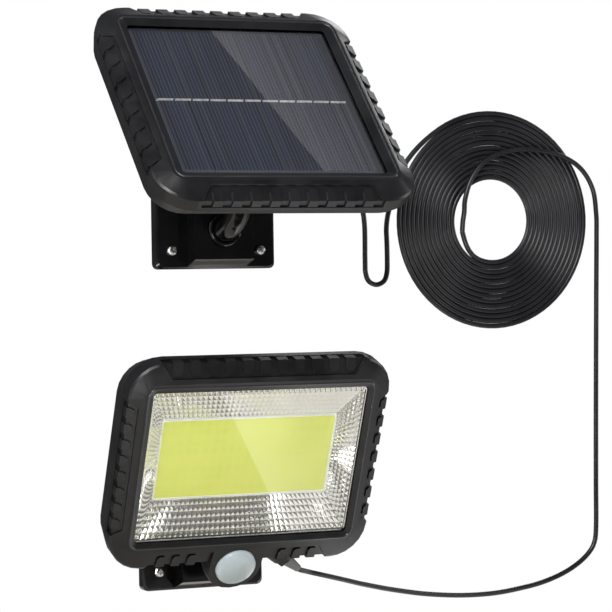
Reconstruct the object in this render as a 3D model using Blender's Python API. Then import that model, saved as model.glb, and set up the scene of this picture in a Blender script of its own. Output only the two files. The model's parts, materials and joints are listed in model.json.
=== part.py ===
"""Solar flood light: a solar panel and a lamp on two wall brackets, joined by a coiled cord.

Lengths in this script are millimetres and become metres when a mesh is made.
World frame: +X right, +Y into the wall, +Z up, wall plane at Y = 0, origin on the back of the
upper bracket behind its swivel axis.
Head frame, for the panel and for the lamp: origin at the centre of the front glass, +X right,
+Y inward from the glass, +Z up along the glass.
"""

import math

import bmesh
import bpy
from mathutils import Matrix, Vector

MM = 0.001
GAP = 0.3                       # clearance between pieces that touch

# Where the two units hang
LAMP_X = -10.3                  # the lamp's bracket is a little left of the panel's
LAMP_BOSS_Z = -170.8            # swivel axis of the lower bracket
PANEL_TILT = 43.3               # degrees, top leaning back to the wall
LAMP_TILT = -22.3               # degrees, top leaning forward
PANEL_CENTRE = (0.0, -63.0, 66.1)
LAMP_CENTRE = (LAMP_X, -74.0, -121.8)

# Stems: (out from the wall, up from the boss axis, radius) along each, last point on the tilt pivot
PANEL_STEM = [
    (10.3, 0.0, 7.0), (20.6, 0.0, 7.0), (25.0, 0.8, 6.9), (31.0, 3.2, 6.6), (36.5, 7.2, 6.3),
    (40.6, 12.4, 6.0), (43.0, 18.6, 5.7), (44.0, 30.0, 5.2),
]
LAMP_STEM = [
    (10.3, 0.0, 7.0), (20.6, 0.0, 7.0), (22.5, 0.3, 6.8), (24.2, 1.2, 6.6), (25.6, 2.7, 6.3),
    (26.6, 4.6, 6.0), (27.2, 7.0, 5.8), (32.0, 30.0, 5.2),
]

# Wall bracket
PLATE_WIDTH = 69.0
PLATE_BOTTOM = -21.0
PLATE_TOP = 25.0
PLATE_THICK = 7.0
PLATE_CORNER = 3.0
BLOCK_HALF = 17.0
BLOCK_FRONT = 19.0
BLOCK_SLOPE = 4.0               # rise of the block's underside towards its front
BORE_RADIUS = 9.6
BORE_FLOOR = 7.0
SCREW_X = 25.6
SCREW_LOW = -11.0
SCREW_HIGH = 15.0

# Stem and hinge
NECK_RADIUS = 7.0
EYE_RADIUS = 7.0
EYE_HALF = 4.5
LUG_THICK = 5.0
PIN_RADIUS = 2.5

# Cord outlet, gland nut
OUTLET = 3.6
GLAND_NUT = 4.4

# Housings
HEAD_WIDTH = 145.0
PANEL_HEIGHT = 145.0
LAMP_HEIGHT = 115.0
PANEL_CORNER = 20.0
LAMP_CORNER = 19.0
PANEL_OPEN = (113.4, 110.0)
LAMP_OPEN = (119.0, 83.4)
LED_FIELD = (96.0, 43.0)

# Cord
CORD_DIAMETER = 2.8
COIL_CENTRE = (171.3, 4.1)      # X and Z
COIL_INNER = 21.8
COIL_OUTER = 62.6
COIL_Y = -2.6

# The cord's route, free stretches only
PANEL_LEAD_TAIL = [(33.0, -44.8, 33.0), (33.0, -43.1, 31.4)]
PANEL_ARM_ROUTE = [
    (33.0, -42.8, 31.1), (33.0, -40.8, 29.3), (32.6, -36.0, 27.0), (31.6, -29.0, 25.9),
    (31.0, -22.6, 25.8), (31.0, -20.2, 25.8),
]
PANEL_LOOP_ROUTE = [
    (31.0, -19.8, 25.8), (31.0, -17.8, 25.8), (34.6, -12.6, 26.0), (44.0, -8.4, 26.0),
    (58.0, -5.2, 25.0), (70.0, -4.1, 23.8), (80.6, -4.0, 21.0), (87.4, -4.0, 14.6),
    (90.3, -4.0, 4.0), (90.4, -4.0, -17.6), (90.6, -4.0, -24.2), (92.5, -4.0, -28.9),
    (97.2, -4.0, -30.9), (101.9, -4.0, -28.9), (103.8, -4.0, -24.2), (104.1, -4.0, -17.6),
    (104.2, -3.7, -8.0), (104.3, -3.1, 0.0), (105.4, -2.7, 7.0), (107.1, -2.6, 13.0),
]
LAMP_LEAD_TAIL = [(41.0, -30.6, -184.2), (44.0, -30.4, -185.0)]
RUN_ROUTE = [
    (44.4, -30.4, -185.1), (48.2, -30.0, -186.1), (60.6, -28.2, -189.4), (73.7, -26.2, -193.0),
    (86.9, -24.0, -196.2), (100.2, -21.8, -199.0), (113.6, -19.4, -201.5), (127.2, -16.9, -203.4),
    (140.9, -14.5, -204.8), (154.7, -12.2, -205.5), (168.7, -10.0, -205.4), (182.9, -8.0, -204.2),
    (197.2, -6.4, -202.2), (210.5, -6.0, -198.4), (220.8, -6.0, -193.6), (228.6, -6.0, -188.0),
    (233.4, -6.0, -181.6), (234.9, -6.0, -172.0), (235.3, -6.0, -145.3), (236.1, -6.0, -99.3),
    (237.3, -6.0, -41.7), (238.1, -6.0, -6.0), (238.1, -6.0, 8.0), (235.8, -6.0, 22.6),
    (227.6, -6.0, 34.4), (213.8, -6.0, 41.6), (196.8, -6.0, 44.4), (181.1, -6.0, 43.5),
    (166.6, -6.0, 38.2), (157.0, -6.0, 27.8), (152.8, -5.9, 16.6), (152.3, -5.4, 9.2),
    (152.1, -3.9, 3.8), (152.3, -2.7, -1.5),
]


# Shape helpers, all in millimetres


def rounded_rect(half_width, half_height, radius, steps=6, centre=(0.0, 0.0)):
    """Corner arcs of a rounded rectangle as (x, z) points, anticlockwise from the right side."""
    points = []
    for corner, (sign_x, sign_z) in enumerate(((1, 1), (-1, 1), (-1, -1), (1, -1))):
        arc_x = centre[0] + sign_x * (half_width - radius)
        arc_z = centre[1] + sign_z * (half_height - radius)
        for step in range(steps + 1):
            angle = math.radians(90.0 * (corner + step / steps))
            points.append((arc_x + radius * math.cos(angle), arc_z + radius * math.sin(angle)))
    return points


def section(half_width, half_height, radius, depth, steps=6, centre=(0.0, 0.0)):
    """A rounded rectangle at one depth, as 3D points."""
    return [Vector((x, depth, z)) for x, z in
            rounded_rect(half_width, half_height, radius, steps, centre)]


def loft(loops, ring=False):
    """Skin equal-length loops into one closed solid, or into a ring when its ends meet."""
    bm = bmesh.new()
    rows = [[bm.verts.new(point) for point in loop] for loop in loops]
    pairs = list(zip(rows, rows[1:]))
    if ring:
        pairs.append((rows[-1], rows[0]))
    count = len(rows[0])
    for first, second in pairs:
        for i in range(count):
            j = (i + 1) % count
            bm.faces.new((first[i], first[j], second[j], second[i]))
    if not ring:
        bm.faces.new(rows[0])
        bm.faces.new(rows[-1])
    bmesh.ops.recalc_face_normals(bm, faces=bm.faces)
    return bm


def box(low, high):
    """A box between two corners."""
    (x0, y0, z0), (x1, y1, z1) = low, high
    base = [(x0, z0), (x1, z0), (x1, z1), (x0, z1)]
    return loft([[Vector((x, y, z)) for x, z in base] for y in (y0, y1)])


def turned(profile, origin=(0.0, 0.0, 0.0), direction=(0.0, 1.0, 0.0), steps=24, ring=False):
    """Turn (radius, distance) points about an axis through origin along direction."""
    axis = Vector(direction).normalized()
    across = axis.orthogonal().normalized()
    around = axis.cross(across)
    start = Vector(origin)
    loops = []
    for radius, distance in profile:
        loop = []
        for step in range(steps):
            angle = math.tau * step / steps
            spoke = across * math.cos(angle) + around * math.sin(angle)
            loop.append(start + axis * distance + spoke * radius)
        loops.append(loop)
    return loft(loops, ring)


def swept(stations, steps=20):
    """A round bar through (point, radius) stations in the YZ plane."""
    centres = [Vector(point) for point, _ in stations]
    loops = []
    for i, (_, radius) in enumerate(stations):
        before = centres[max(i - 1, 0)]
        after = centres[min(i + 1, len(centres) - 1)]
        heading = (after - before).normalized()
        side = Vector((1.0, 0.0, 0.0))
        upright = side.cross(heading)
        loops.append([
            centres[i] + side * radius * math.cos(math.tau * k / steps)
            + upright * radius * math.sin(math.tau * k / steps)
            for k in range(steps)
        ])
    return loft(loops)


def merged(*meshes):
    """Several meshes in one, for use as one Boolean tool."""
    result = bmesh.new()
    for part in meshes:
        copy = bpy.data.meshes.new("copy")
        part.to_mesh(copy)
        result.from_mesh(copy)
        bpy.data.meshes.remove(copy)
    return result


def boolean(base, tool, operation):
    """Base with tool added or cut away, by Blender's exact Boolean."""
    objects = []
    for label, source in (("base", base), ("tool", tool)):
        mesh = bpy.data.meshes.new(label)
        source.to_mesh(mesh)
        item = bpy.data.objects.new(label, mesh)
        bpy.context.scene.collection.objects.link(item)
        objects.append(item)
    modifier = objects[0].modifiers.new("boolean", "BOOLEAN")
    modifier.operation = operation
    modifier.solver = "EXACT"
    modifier.object = objects[1]
    graph = bpy.context.evaluated_depsgraph_get()
    result = bmesh.new()
    result.from_mesh(objects[0].evaluated_get(graph).to_mesh())
    for item in objects:
        mesh = item.data
        bpy.data.objects.remove(item)
        bpy.data.meshes.remove(mesh)
    bmesh.ops.remove_doubles(result, verts=result.verts, dist=0.002)
    return result


def add(base, *tools):
    """Base with each tool joined on."""
    for tool in tools:
        base = boolean(base, tool, "UNION")
    return base


def cut(base, *tools):
    """Base with each tool cut away."""
    for tool in tools:
        base = boolean(base, tool, "DIFFERENCE")
    return base


# Frames, materials and objects


def head_frame(centre, tilt):
    """World matrix of a head frame, in metres."""
    return Matrix.Translation(Vector(centre) * MM) @ Matrix.Rotation(math.radians(-tilt), 4, "X")


def local_pivot(centre, tilt, stem_line, boss_x, boss_z):
    """The tilt pivot at a stem's end in a head frame, in millimetres."""
    out, up, _ = stem_line[-1]
    world = Vector((boss_x, -out, boss_z + up))
    return Matrix.Rotation(math.radians(tilt), 3, "X") @ (world - Vector(centre))


WORLD = Matrix.Identity(4)
PANEL_FRAME = head_frame(PANEL_CENTRE, PANEL_TILT)
LAMP_FRAME = head_frame(LAMP_CENTRE, LAMP_TILT)
PANEL_PIVOT = local_pivot(PANEL_CENTRE, PANEL_TILT, PANEL_STEM, 0.0, 0.0)
LAMP_PIVOT = local_pivot(LAMP_CENTRE, LAMP_TILT, LAMP_STEM, LAMP_X, LAMP_BOSS_Z)

MATERIALS = {
    "black_plastic": ((0.020, 0.020, 0.021), 0.32, 0.0),
    "bracket_plastic": ((0.015, 0.015, 0.016), 0.18, 0.0),
    "rubber": ((0.025, 0.025, 0.026), 0.60, 0.0),
    "grey_rubber": ((0.200, 0.200, 0.200), 0.60, 0.0),
    "clear_glass": ((0.800, 0.830, 0.850), 0.05, 0.0),
    "solar_cell": ((0.030, 0.045, 0.090), 0.25, 0.3),
    "bright_aluminium": ((0.850, 0.850, 0.850), 0.12, 1.0),
    "raw_aluminium": ((0.620, 0.630, 0.640), 0.35, 1.0),
    "phosphor": ((0.780, 0.830, 0.130), 0.45, 0.0),
    "circuit_board": ((0.030, 0.170, 0.080), 0.40, 0.0),
    "milky_plastic": ((0.850, 0.850, 0.830), 0.35, 0.0),
    "bright_steel": ((0.700, 0.700, 0.700), 0.22, 1.0),
    "battery_wrap": ((0.080, 0.230, 0.560), 0.35, 0.0),
    "cord_jacket": ((0.018, 0.018, 0.019), 0.38, 0.0),
}


def material(name):
    """The named finish, made once."""
    found = bpy.data.materials.get(name)
    if found:
        return found
    colour, roughness, metallic = MATERIALS[name]
    made = bpy.data.materials.new(name)
    made.use_nodes = True
    shader = made.node_tree.nodes["Principled BSDF"]
    shader.inputs["Base Color"].default_value = (*colour, 1.0)
    shader.inputs["Roughness"].default_value = roughness
    shader.inputs["Metallic"].default_value = metallic
    return made


def place(name, bm, finish, frame=WORLD, pivot=(0.0, 0.0, 0.0)):
    """Turn a millimetre mesh of one frame into an object whose origin is its pivot."""
    offset = Vector(pivot)
    bmesh.ops.recalc_face_normals(bm, faces=bm.faces)
    bmesh.ops.transform(
        bm, matrix=Matrix.Scale(MM, 4) @ Matrix.Translation(-offset), verts=bm.verts)
    mesh = bpy.data.meshes.new(name)
    bm.to_mesh(mesh)
    bm.free()
    mesh.shade_smooth()
    mesh.set_sharp_from_angle(angle=math.radians(35.0))
    mesh.materials.append(material(finish))
    item = bpy.data.objects.new(name, mesh)
    bpy.context.scene.collection.objects.link(item)
    item.matrix_world = frame @ Matrix.Translation(offset * MM)
    return item


# Wall brackets, screws, collars, stems


def bracket(name, x, z):
    """Moulded wall bracket: plate, raised block with a sloped underside, swivel bore, screw holes."""
    middle = (0.0, (PLATE_TOP + PLATE_BOTTOM) / 2)
    plate = loft([
        section(PLATE_WIDTH / 2 - inset, (PLATE_TOP - PLATE_BOTTOM) / 2 - inset, PLATE_CORNER,
                -depth, 4, middle)
        for inset, depth in ((0.0, 0.0), (0.0, PLATE_THICK - 1.2), (1.2, PLATE_THICK))
    ])
    low = PLATE_BOTTOM + 1.0
    side = [
        (-PLATE_THICK + 2.0, low), (-PLATE_THICK, low), (-BLOCK_FRONT, low + BLOCK_SLOPE),
        (-BLOCK_FRONT, PLATE_TOP - 4.0), (-PLATE_THICK, PLATE_TOP - 1.5),
        (-PLATE_THICK + 2.0, PLATE_TOP - 1.5),
    ]
    block = loft([[Vector((end, y, level)) for y, level in side]
                  for end in (-BLOCK_HALF, BLOCK_HALF)])
    pockets = merged(*[box((left, -5.0, -5.0), (right, 1.0, 9.0))
                       for left, right in ((-32.5, -19.5), (19.5, 32.5))])
    bore = turned([(BORE_RADIUS, -BORE_FLOOR), (BORE_RADIUS, -BLOCK_FRONT - 1.0)], steps=32)
    holes = merged(*[
        turned([(1.9, 1.0), (1.9, -PLATE_THICK - 1.0)], (side_x, 0.0, level), steps=14)
        for side_x in (-SCREW_X, SCREW_X) for level in (SCREW_LOW, SCREW_HIGH)
    ])
    body = cut(add(plate, block), pockets, bore, holes)
    return place(name, body, "bracket_plastic", Matrix.Translation(Vector((x, 0.0, z)) * MM))


def pan_screw(name, frame, head_radius, head_height, shank_radius, length, finish="bright_steel"):
    """Cross-recess pan-head screw along +Y of its frame, seat of the head at the origin."""
    crown = [
        (shank_radius * 0.35, length), (shank_radius, length - shank_radius * 1.6),
        (shank_radius, 0.0), (head_radius, 0.0), (head_radius, -head_height * 0.45),
        (head_radius * 0.82, -head_height * 0.85), (head_radius * 0.45, -head_height),
    ]
    body = turned(crown, steps=12)
    arm = head_radius * 0.55
    web = head_radius * 0.13
    floor = -head_height * 0.35
    cross = add(box((-arm, -head_height - 1.0, -web), (arm, floor, web)),
                box((-web, -head_height - 1.0, -arm), (web, floor, arm)))
    return place(name, cut(body, cross), finish, frame)


def wall_screws(prefix, x, z):
    """The four screws of one bracket."""
    places = {
        "lower_left": (-SCREW_X, SCREW_LOW), "lower_right": (SCREW_X, SCREW_LOW),
        "upper_left": (-SCREW_X, SCREW_HIGH), "upper_right": (SCREW_X, SCREW_HIGH),
    }
    for label, (side_x, level) in places.items():
        seat = Vector((x + side_x, -PLATE_THICK - GAP, z + level)) * MM
        pan_screw(f"{prefix}_wall_screw_{label}", Matrix.Translation(seat), 2.8, 2.0, 1.5, 28.0)


def collar(name, x, z):
    """Retaining ring that holds the stem's foot in the bracket's bore."""
    ring = turned(
        [(NECK_RADIUS + GAP, -16.2), (BORE_RADIUS - GAP, -16.2), (BORE_RADIUS - GAP, -20.2),
         (BORE_RADIUS - 1.1, -21.0), (NECK_RADIUS + GAP, -21.0)],
        steps=32, ring=True)
    return place(name, ring, "bracket_plastic", Matrix.Translation(Vector((x, 0.0, z)) * MM))


def stem(name, line, x, z):
    """Swivel stem: foot disc, bent neck and hinge eye, turning about the boss axis."""
    foot = turned([(9.0, -BORE_FLOOR - GAP), (9.0, -15.9)], steps=32)
    neck = swept([((0.0, -out, up), radius) for out, up, radius in line])
    out, up, _ = line[-1]
    across = (1.0, 0.0, 0.0)
    eye = turned([(EYE_RADIUS, -EYE_HALF), (EYE_RADIUS, EYE_HALF)], (0.0, -out, up), across)
    hole = turned([(PIN_RADIUS + GAP, -20.0), (PIN_RADIUS + GAP, 20.0)],
                  (0.0, -out, up), across, 20)
    cheeks = merged(*[
        box((left, -out - 20.0, up - 16.0), (right, -out + 20.0, up + 20.0))
        for left, right in ((-20.0, -EYE_HALF), (EYE_HALF, 20.0))
    ])
    body = cut(add(foot, neck, eye), cheeks, hole)
    return place(name, body, "bracket_plastic", Matrix.Translation(Vector((x, 0.0, z)) * MM))


def hinge_hardware(prefix, frame, pivot):
    """Clamp bolt and nut through the hinge, fixed to the head's lugs."""
    outer = EYE_HALF + GAP + LUG_THICK
    bolt = turned(
        [(4.4, -outer - GAP - 3.0), (4.4, -outer - GAP), (PIN_RADIUS, -outer - GAP),
         (PIN_RADIUS, outer + 5.0)], pivot, (1.0, 0.0, 0.0), 20)
    socket = turned([(2.0, -outer - 5.0), (2.0, -outer - 1.6)], pivot, (1.0, 0.0, 0.0), 6)
    place(f"{prefix}_hinge_bolt", cut(bolt, socket), "bright_steel", frame, pivot)
    nut = turned([(4.6, outer + GAP), (4.6, outer + GAP + 4.0)], pivot, (1.0, 0.0, 0.0), 6)
    hole = turned([(PIN_RADIUS + GAP, 0.0), (PIN_RADIUS + GAP, 20.0)], pivot, (1.0, 0.0, 0.0), 20)
    place(f"{prefix}_hinge_nut", cut(nut, hole), "bright_steel", frame, pivot)


def hinge_lugs(pivot, root_depth, root_half):
    """Two lugs from a back plate to the hinge eye, with the bolt's holes cut."""
    parts = []
    for sign in (-1, 1):
        near = sign * (EYE_HALF + GAP)
        far = sign * (EYE_HALF + GAP + LUG_THICK)
        outline = [(root_depth, pivot.z - root_half), (root_depth, pivot.z + root_half)]
        for step in range(9):
            angle = math.radians(90.0 - 22.5 * step)
            outline.append((pivot.y + EYE_RADIUS * math.cos(angle),
                            pivot.z + EYE_RADIUS * math.sin(angle)))
        parts.append(loft([[Vector((x, y, z)) for y, z in outline] for x in (near, far)]))
    hole = turned([(PIN_RADIUS + GAP, -20.0), (PIN_RADIUS + GAP, 20.0)], pivot, (1.0, 0.0, 0.0), 20)
    return merged(*parts), hole


# Parts that the two heads share


def edge_trim(edge, border, front, rim, side):
    """Cutters for one sunk side panel of a front frame, and the pads that stand in it.

    edge: half size across the side; border: width of the sloped border;
    front, rim: depth at the border's inner and outer edge;
    side: axis, sign, half length, pad count, pad share of the pitch, gap around the middle.
    """
    axis, sign, half_length, count, share, middle = side
    fall = (rim - front) / border
    inner = border - 2.4
    short = half_length - inner * 0.75

    def point(along, inset, depth):
        across = sign * (edge - inset)
        return Vector((across, depth, along) if axis == "x" else (along, depth, across))

    loops = []
    for inset, half in ((inner, short), (-1.0, half_length)):
        floor = rim - fall * inset + 1.3
        loops.append([point(-half, inset, front - 5.0), point(half, inset, front - 5.0),
                      point(half, inset, floor), point(-half, inset, floor)])
    skirt = [(-1.0, rim - 1.0), (-1.0, rim + 4.6), (1.1, rim + 4.6), (1.1, rim - 1.0)]
    cutters = [loft(loops), loft([
        [point(end, inset, depth) for inset, depth in skirt]
        for end in (-half_length + 0.8, half_length - 0.8)])]

    pads = []
    pitch = 2.0 * (short - 3.0) / (count - 1)
    half = pitch * share / 2
    tip = inner - 1.6
    arch = [(-half, 0.15), (-half, tip - half * 0.7), (-half * 0.6, tip), (half * 0.6, tip),
            (half, tip - half * 0.7), (half, 0.15)]
    post = [(0.15, rim + 0.2), (0.15, rim + 4.2), (2.6, rim + 4.2), (2.6, rim + 0.2)]
    for index in range(count):
        centre = -(short - 3.0) + pitch * index
        if abs(centre) < middle:
            continue
        pads.append(loft([[point(centre + s, inset, rim - fall * inset + lift)
                           for s, inset in arch] for lift in (0.2, 3.2)]))
        pads.append(loft([[point(centre + s, inset, depth) for inset, depth in post]
                          for s in (-half, half)]))
    return cutters, pads


def front_frame(opening, height, corner, bezel, front, rim, seam, sides):
    """Front frame of a head: bezel, raised ring, sloped border, side wall and hollow underside."""
    half_width = HEAD_WIDTH / 2
    half_height = height / 2
    open_w = opening[0] / 2
    open_h = opening[1] / 2
    ring_w = open_w + bezel
    ring_h = open_h + bezel
    wall = 2.5
    body = loft([
        section(open_w, open_h, 2.0, -GAP),
        section(ring_w, ring_h, 4.5, front),
        section(ring_w + 2.4, ring_h + 2.4, 6.5, front),
        section(half_width - 1.0, half_height - 1.0, corner - 1.0, rim - 1.0),
        section(half_width, half_height, corner, rim),
        section(half_width, half_height, corner, seam),
        section(half_width - wall, half_height - wall, corner - wall, seam),
        section(half_width - wall, half_height - wall, corner - wall, rim + 1.6),
        section(open_w + 3.1, open_h + 3.1, 2.5, front + 3.0),
        section(open_w + 3.1, open_h + 3.1, 2.5, -GAP),
    ], ring=True)
    flats = []
    posts = []
    for side in sides:
        edge, ring_edge = (half_width, ring_w) if side[0] == "x" else (half_height, ring_h)
        cutters, pads = edge_trim(edge, edge - ring_edge - 2.4, front, rim, side)
        body = cut(body, *cutters)
        flats += pads[0::2]
        posts += pads[1::2]
    return add(body, merged(*flats), merged(*posts))


def rear_tray(height, corner, seam, depth, floor, bevel):
    """Tray that closes a head from behind; bevel slopes its top and bottom edges inward."""
    half_width = HEAD_WIDTH / 2 - 0.4
    half_height = height / 2 - 0.4
    wall = 2.4
    knee = seam + 1.8
    slope = bevel / (depth - knee)
    floor_drop = slope * (floor - knee)
    return loft([
        section(half_width - wall - 2.0, half_height - wall - floor_drop - 1.0, corner - 6.0, floor),
        section(half_width - wall, half_height - wall, corner - 3.0, knee),
        section(half_width - wall, half_height - wall, corner - 2.0, seam + GAP),
        section(half_width, half_height, corner - 0.4, seam + GAP),
        section(half_width, half_height, corner - 0.4, knee),
        section(half_width - 0.6, half_height - bevel + 1.4 * slope, corner - 2.0, depth - 1.4),
        section(half_width - 2.0, half_height - bevel, corner - 4.0, depth),
    ])


def housing_screws(prefix, frame, places, seat, length):
    """Self-tapping screws that hold a rear shell to its front frame, driven from behind."""
    flip = Matrix.Rotation(math.pi, 4, "Z")
    for label, (x, z) in places.items():
        spot = Matrix.Translation(Vector((x, seat + GAP, z)) * MM)
        pan_screw(f"{prefix}_screw_{label}", frame @ spot @ flip, 2.7, 1.3, 1.2, length)


def screw_bosses(places, top, seam):
    """Posts under the front frame that take the housing screws."""
    return [turned([(3.0, top), (3.0, seam)], (x, 0.0, z), steps=14) for x, z in places.values()]


def screw_pilots(places, top, seam):
    """Holes in those posts."""
    return merged(*[turned([(1.5, top), (1.5, seam + 1.0)], (x, 0.0, z), steps=10)
                    for x, z in places.values()])


def screw_seats(places, seat, depth):
    """Holes and head pockets in the rear shell."""
    tools = []
    for x, z in places.values():
        tools.append(turned([(1.5, seat - 10.0), (1.5, seat), (3.1, seat), (3.1, depth + 2.0)],
                            (x, 0.0, z), steps=14))
    return merged(*tools)


def gland_parts(prefix, frame, seat, direction, relief_length, finish):
    """Gland nut on the outlet's mouth, and the tapered strain relief that it holds."""
    mouth = seat + direction * OUTLET
    nut = turned([(5.4, GAP), (5.4, GLAND_NUT - 1.0), (4.4, GLAND_NUT)], mouth, direction, 6)
    hole = turned([(2.9, -5.0), (2.9, GLAND_NUT + 5.0)], mouth, direction, 16)
    place(f"{prefix}_gland_nut", cut(nut, hole), "black_plastic", frame)
    cord = CORD_DIAMETER / 2
    end = GLAND_NUT + relief_length
    relief = turned(
        [(cord + 0.2, GAP), (2.6, GAP), (2.6, GLAND_NUT + GAP), (3.4, GLAND_NUT + GAP),
         (3.2, GLAND_NUT + 2.0), (cord + 0.6, end), (cord + 0.2, end)],
        mouth, direction, 16, ring=True)
    place(f"{prefix}_strain_relief", relief, finish, frame)


def lead_start(frame, seat, direction, relief_length):
    """Three points on the strain relief's axis, from inside it to just past its end."""
    end = OUTLET + GLAND_NUT + relief_length
    return [frame @ ((seat + direction * (end + past)) * MM) / MM for past in (-4.0, -1.0, 1.5)]


# The solar panel unit

PANEL_SEAM = 8.0
PANEL_DEPTH = 18.0
PANEL_SEAT = 16.6
PANEL_SCREWS = {
    "upper_left": (-64.9, 34.0), "lower_left": (-64.9, -34.0),
    "upper_right": (64.9, 34.0), "lower_right": (64.9, -34.0),
}
PANEL_SIDES = [
    ("x", -1, 51.0, 8, 0.72, 0.0), ("x", 1, 51.0, 8, 0.6, 0.0),
    ("z", -1, 51.0, 9, 0.52, 0.0), ("z", 1, 51.0, 9, 0.6, 0.0),
]
PANEL_GLAND = Vector((33.0, 18.0, -11.7))
PANEL_GLAND_AXIS = Vector((0.0, 1.0, 0.0))
PANEL_RELIEF = 7.0


def panel_unit():
    """Front frame, glass, cells, seal, rear shell with lugs, screws, gland."""
    body = front_frame(PANEL_OPEN, PANEL_HEIGHT, PANEL_CORNER, 4.2, -2.0, 2.6, PANEL_SEAM,
                       PANEL_SIDES)
    body = add(body, *screw_bosses(PANEL_SCREWS, 2.6, PANEL_SEAM))
    body = cut(body, screw_pilots(PANEL_SCREWS, 3.8, PANEL_SEAM))
    place("panel_front_frame", body, "black_plastic", PANEL_FRAME, PANEL_PIVOT)

    half_w = PANEL_OPEN[0] / 2 + 2.7
    half_h = PANEL_OPEN[1] / 2 + 2.7
    glass = loft([section(half_w, half_h, 1.5, depth, 3) for depth in (0.0, 1.8)])
    place("panel_glass", glass, "clear_glass", PANEL_FRAME, PANEL_PIVOT)
    cells = loft([section(half_w - 0.4, half_h - 0.4, 1.2, depth, 3) for depth in (2.1, 4.0)])
    place("panel_solar_cells", cells, "solar_cell", PANEL_FRAME, PANEL_PIVOT)
    seal = loft([section(half_w - inset, half_h - inset, 1.2, depth, 3)
                 for inset, depth in ((0.4, 4.3), (0.4, 6.6), (3.0, 6.6), (3.0, 4.3))], ring=True)
    place("panel_seal", seal, "rubber", PANEL_FRAME, PANEL_PIVOT)

    shell = rear_tray(PANEL_HEIGHT, PANEL_CORNER, PANEL_SEAM, PANEL_DEPTH, 15.6, 6.5)
    ledge = loft([section(half_w - inset, half_h - inset, 1.2, depth, 3)
                  for inset, depth in ((0.6, 6.9), (0.6, 16.0), (2.4, 16.0), (2.4, 6.9))], ring=True)
    hump = loft([section(22.0 - inset, 30.0 - inset, 5.0, depth, 3, (0.0, -10.0))
                 for inset, depth in ((-1.0, 16.5), (0.0, PANEL_DEPTH), (2.0, 23.0))])
    lugs, hole = hinge_lugs(PANEL_PIVOT, 21.0, 12.0)
    outlet = turned([(5.6, -3.0), (5.4, OUTLET)], PANEL_GLAND, PANEL_GLAND_AXIS, 20)
    duct = turned([(2.9, -12.0), (2.9, 6.0)], PANEL_GLAND, PANEL_GLAND_AXIS, 16)
    shell = add(shell, ledge, hump, lugs, outlet)
    shell = cut(shell, hole, duct, screw_seats(PANEL_SCREWS, PANEL_SEAT, PANEL_DEPTH))
    place("panel_rear_shell", shell, "black_plastic", PANEL_FRAME, PANEL_PIVOT)

    housing_screws("panel", PANEL_FRAME, PANEL_SCREWS, PANEL_SEAT, 11.5)
    hinge_hardware("panel", PANEL_FRAME, PANEL_PIVOT)
    gland_parts("panel", PANEL_FRAME, PANEL_GLAND, PANEL_GLAND_AXIS, PANEL_RELIEF, "rubber")


# The lamp unit

LAMP_SEAM = 9.0
LAMP_DEPTH = 21.0
LAMP_SEAT = 19.4
LAMP_SCREWS = {
    "upper_left": (-67.6, 26.0), "lower_left": (-67.6, -26.0),
    "upper_right": (67.6, 26.0), "lower_right": (67.6, -26.0),
}
LAMP_SIDES = [
    ("x", -1, 38.0, 8, 0.6, 0.0), ("x", 1, 38.0, 7, 0.6, 0.0),
    ("z", 1, 57.0, 11, 0.6, 0.0), ("z", -1, 52.0, 11, 0.55, 20.0),
]
POD_HALF = 14.5
POD_TOP = -47.4
POD_BOTTOM = -74.0
SENSOR_Z = -59.6
SENSOR_LEAN = 14.0              # degrees that the sensor faces below the glass
SENSOR_DEPTH = 5.0
HUMP_CENTRE = (0.0, 18.0)
BUTTON_SPOT = (-46.0, -40.0)
LAMP_GLAND = Vector((29.0, 15.2, -59.8))
LAMP_GLAND_AXIS = Vector((0.80, 0.0, -0.60))
LAMP_RELIEF = 10.4


def pod_face(z):
    """Depth of the pod's leaning front face."""
    return -1.5 + math.tan(math.radians(SENSOR_LEAN)) * (POD_TOP - z)


def sensor_axis():
    """Centre of the sensor on the pod's face, and the direction into the pod."""
    lean = math.radians(SENSOR_LEAN)
    return Vector((0.0, pod_face(SENSOR_Z), SENSOR_Z)), Vector((0.0, math.cos(lean), math.sin(lean)))


def sensor_pod():
    """Tongue below the lamp's lower border that carries the motion sensor."""
    outline = [(-POD_HALF, POD_TOP), (-POD_HALF, POD_BOTTOM + 12.0)]
    for step in range(1, 10):
        angle = math.pi + math.pi * step / 10
        outline.append((POD_HALF * math.cos(angle), POD_BOTTOM + 12.0 + 12.0 * math.sin(angle)))
    outline += [(POD_HALF, POD_BOTTOM + 12.0), (POD_HALF, POD_TOP)]
    front = [Vector((x, pod_face(z), z)) for x, z in outline]
    back = [Vector((x * 0.97, 9.6 + 0.4 * (z - POD_BOTTOM), z)) for x, z in outline]
    return loft([front, back])


def lamp_front():
    """Front frame with the sensor pod."""
    body = front_frame(LAMP_OPEN, LAMP_HEIGHT, LAMP_CORNER, 2.6, -1.6, 1.8, LAMP_SEAM, LAMP_SIDES)
    body = add(body, *screw_bosses(LAMP_SCREWS, 2.2, LAMP_SEAM))
    body = cut(body, screw_pilots(LAMP_SCREWS, 3.6, LAMP_SEAM))
    behind = box((-20.0, LAMP_SEAM, -57.6), (20.0, 40.0, POD_TOP + 8.0))
    body = add(body, cut(sensor_pod(), behind))
    centre, inward = sensor_axis()
    pocket = turned([(11.3, -6.0), (11.3, SENSOR_DEPTH)], centre, inward, 24)
    wire_way = turned([(1.8, 2.0), (1.8, 12.0)], (0.0, 0.0, -52.2), steps=10)
    place("lamp_front_frame", cut(body, pocket, wire_way), "black_plastic", LAMP_FRAME, LAMP_PIVOT)


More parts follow.
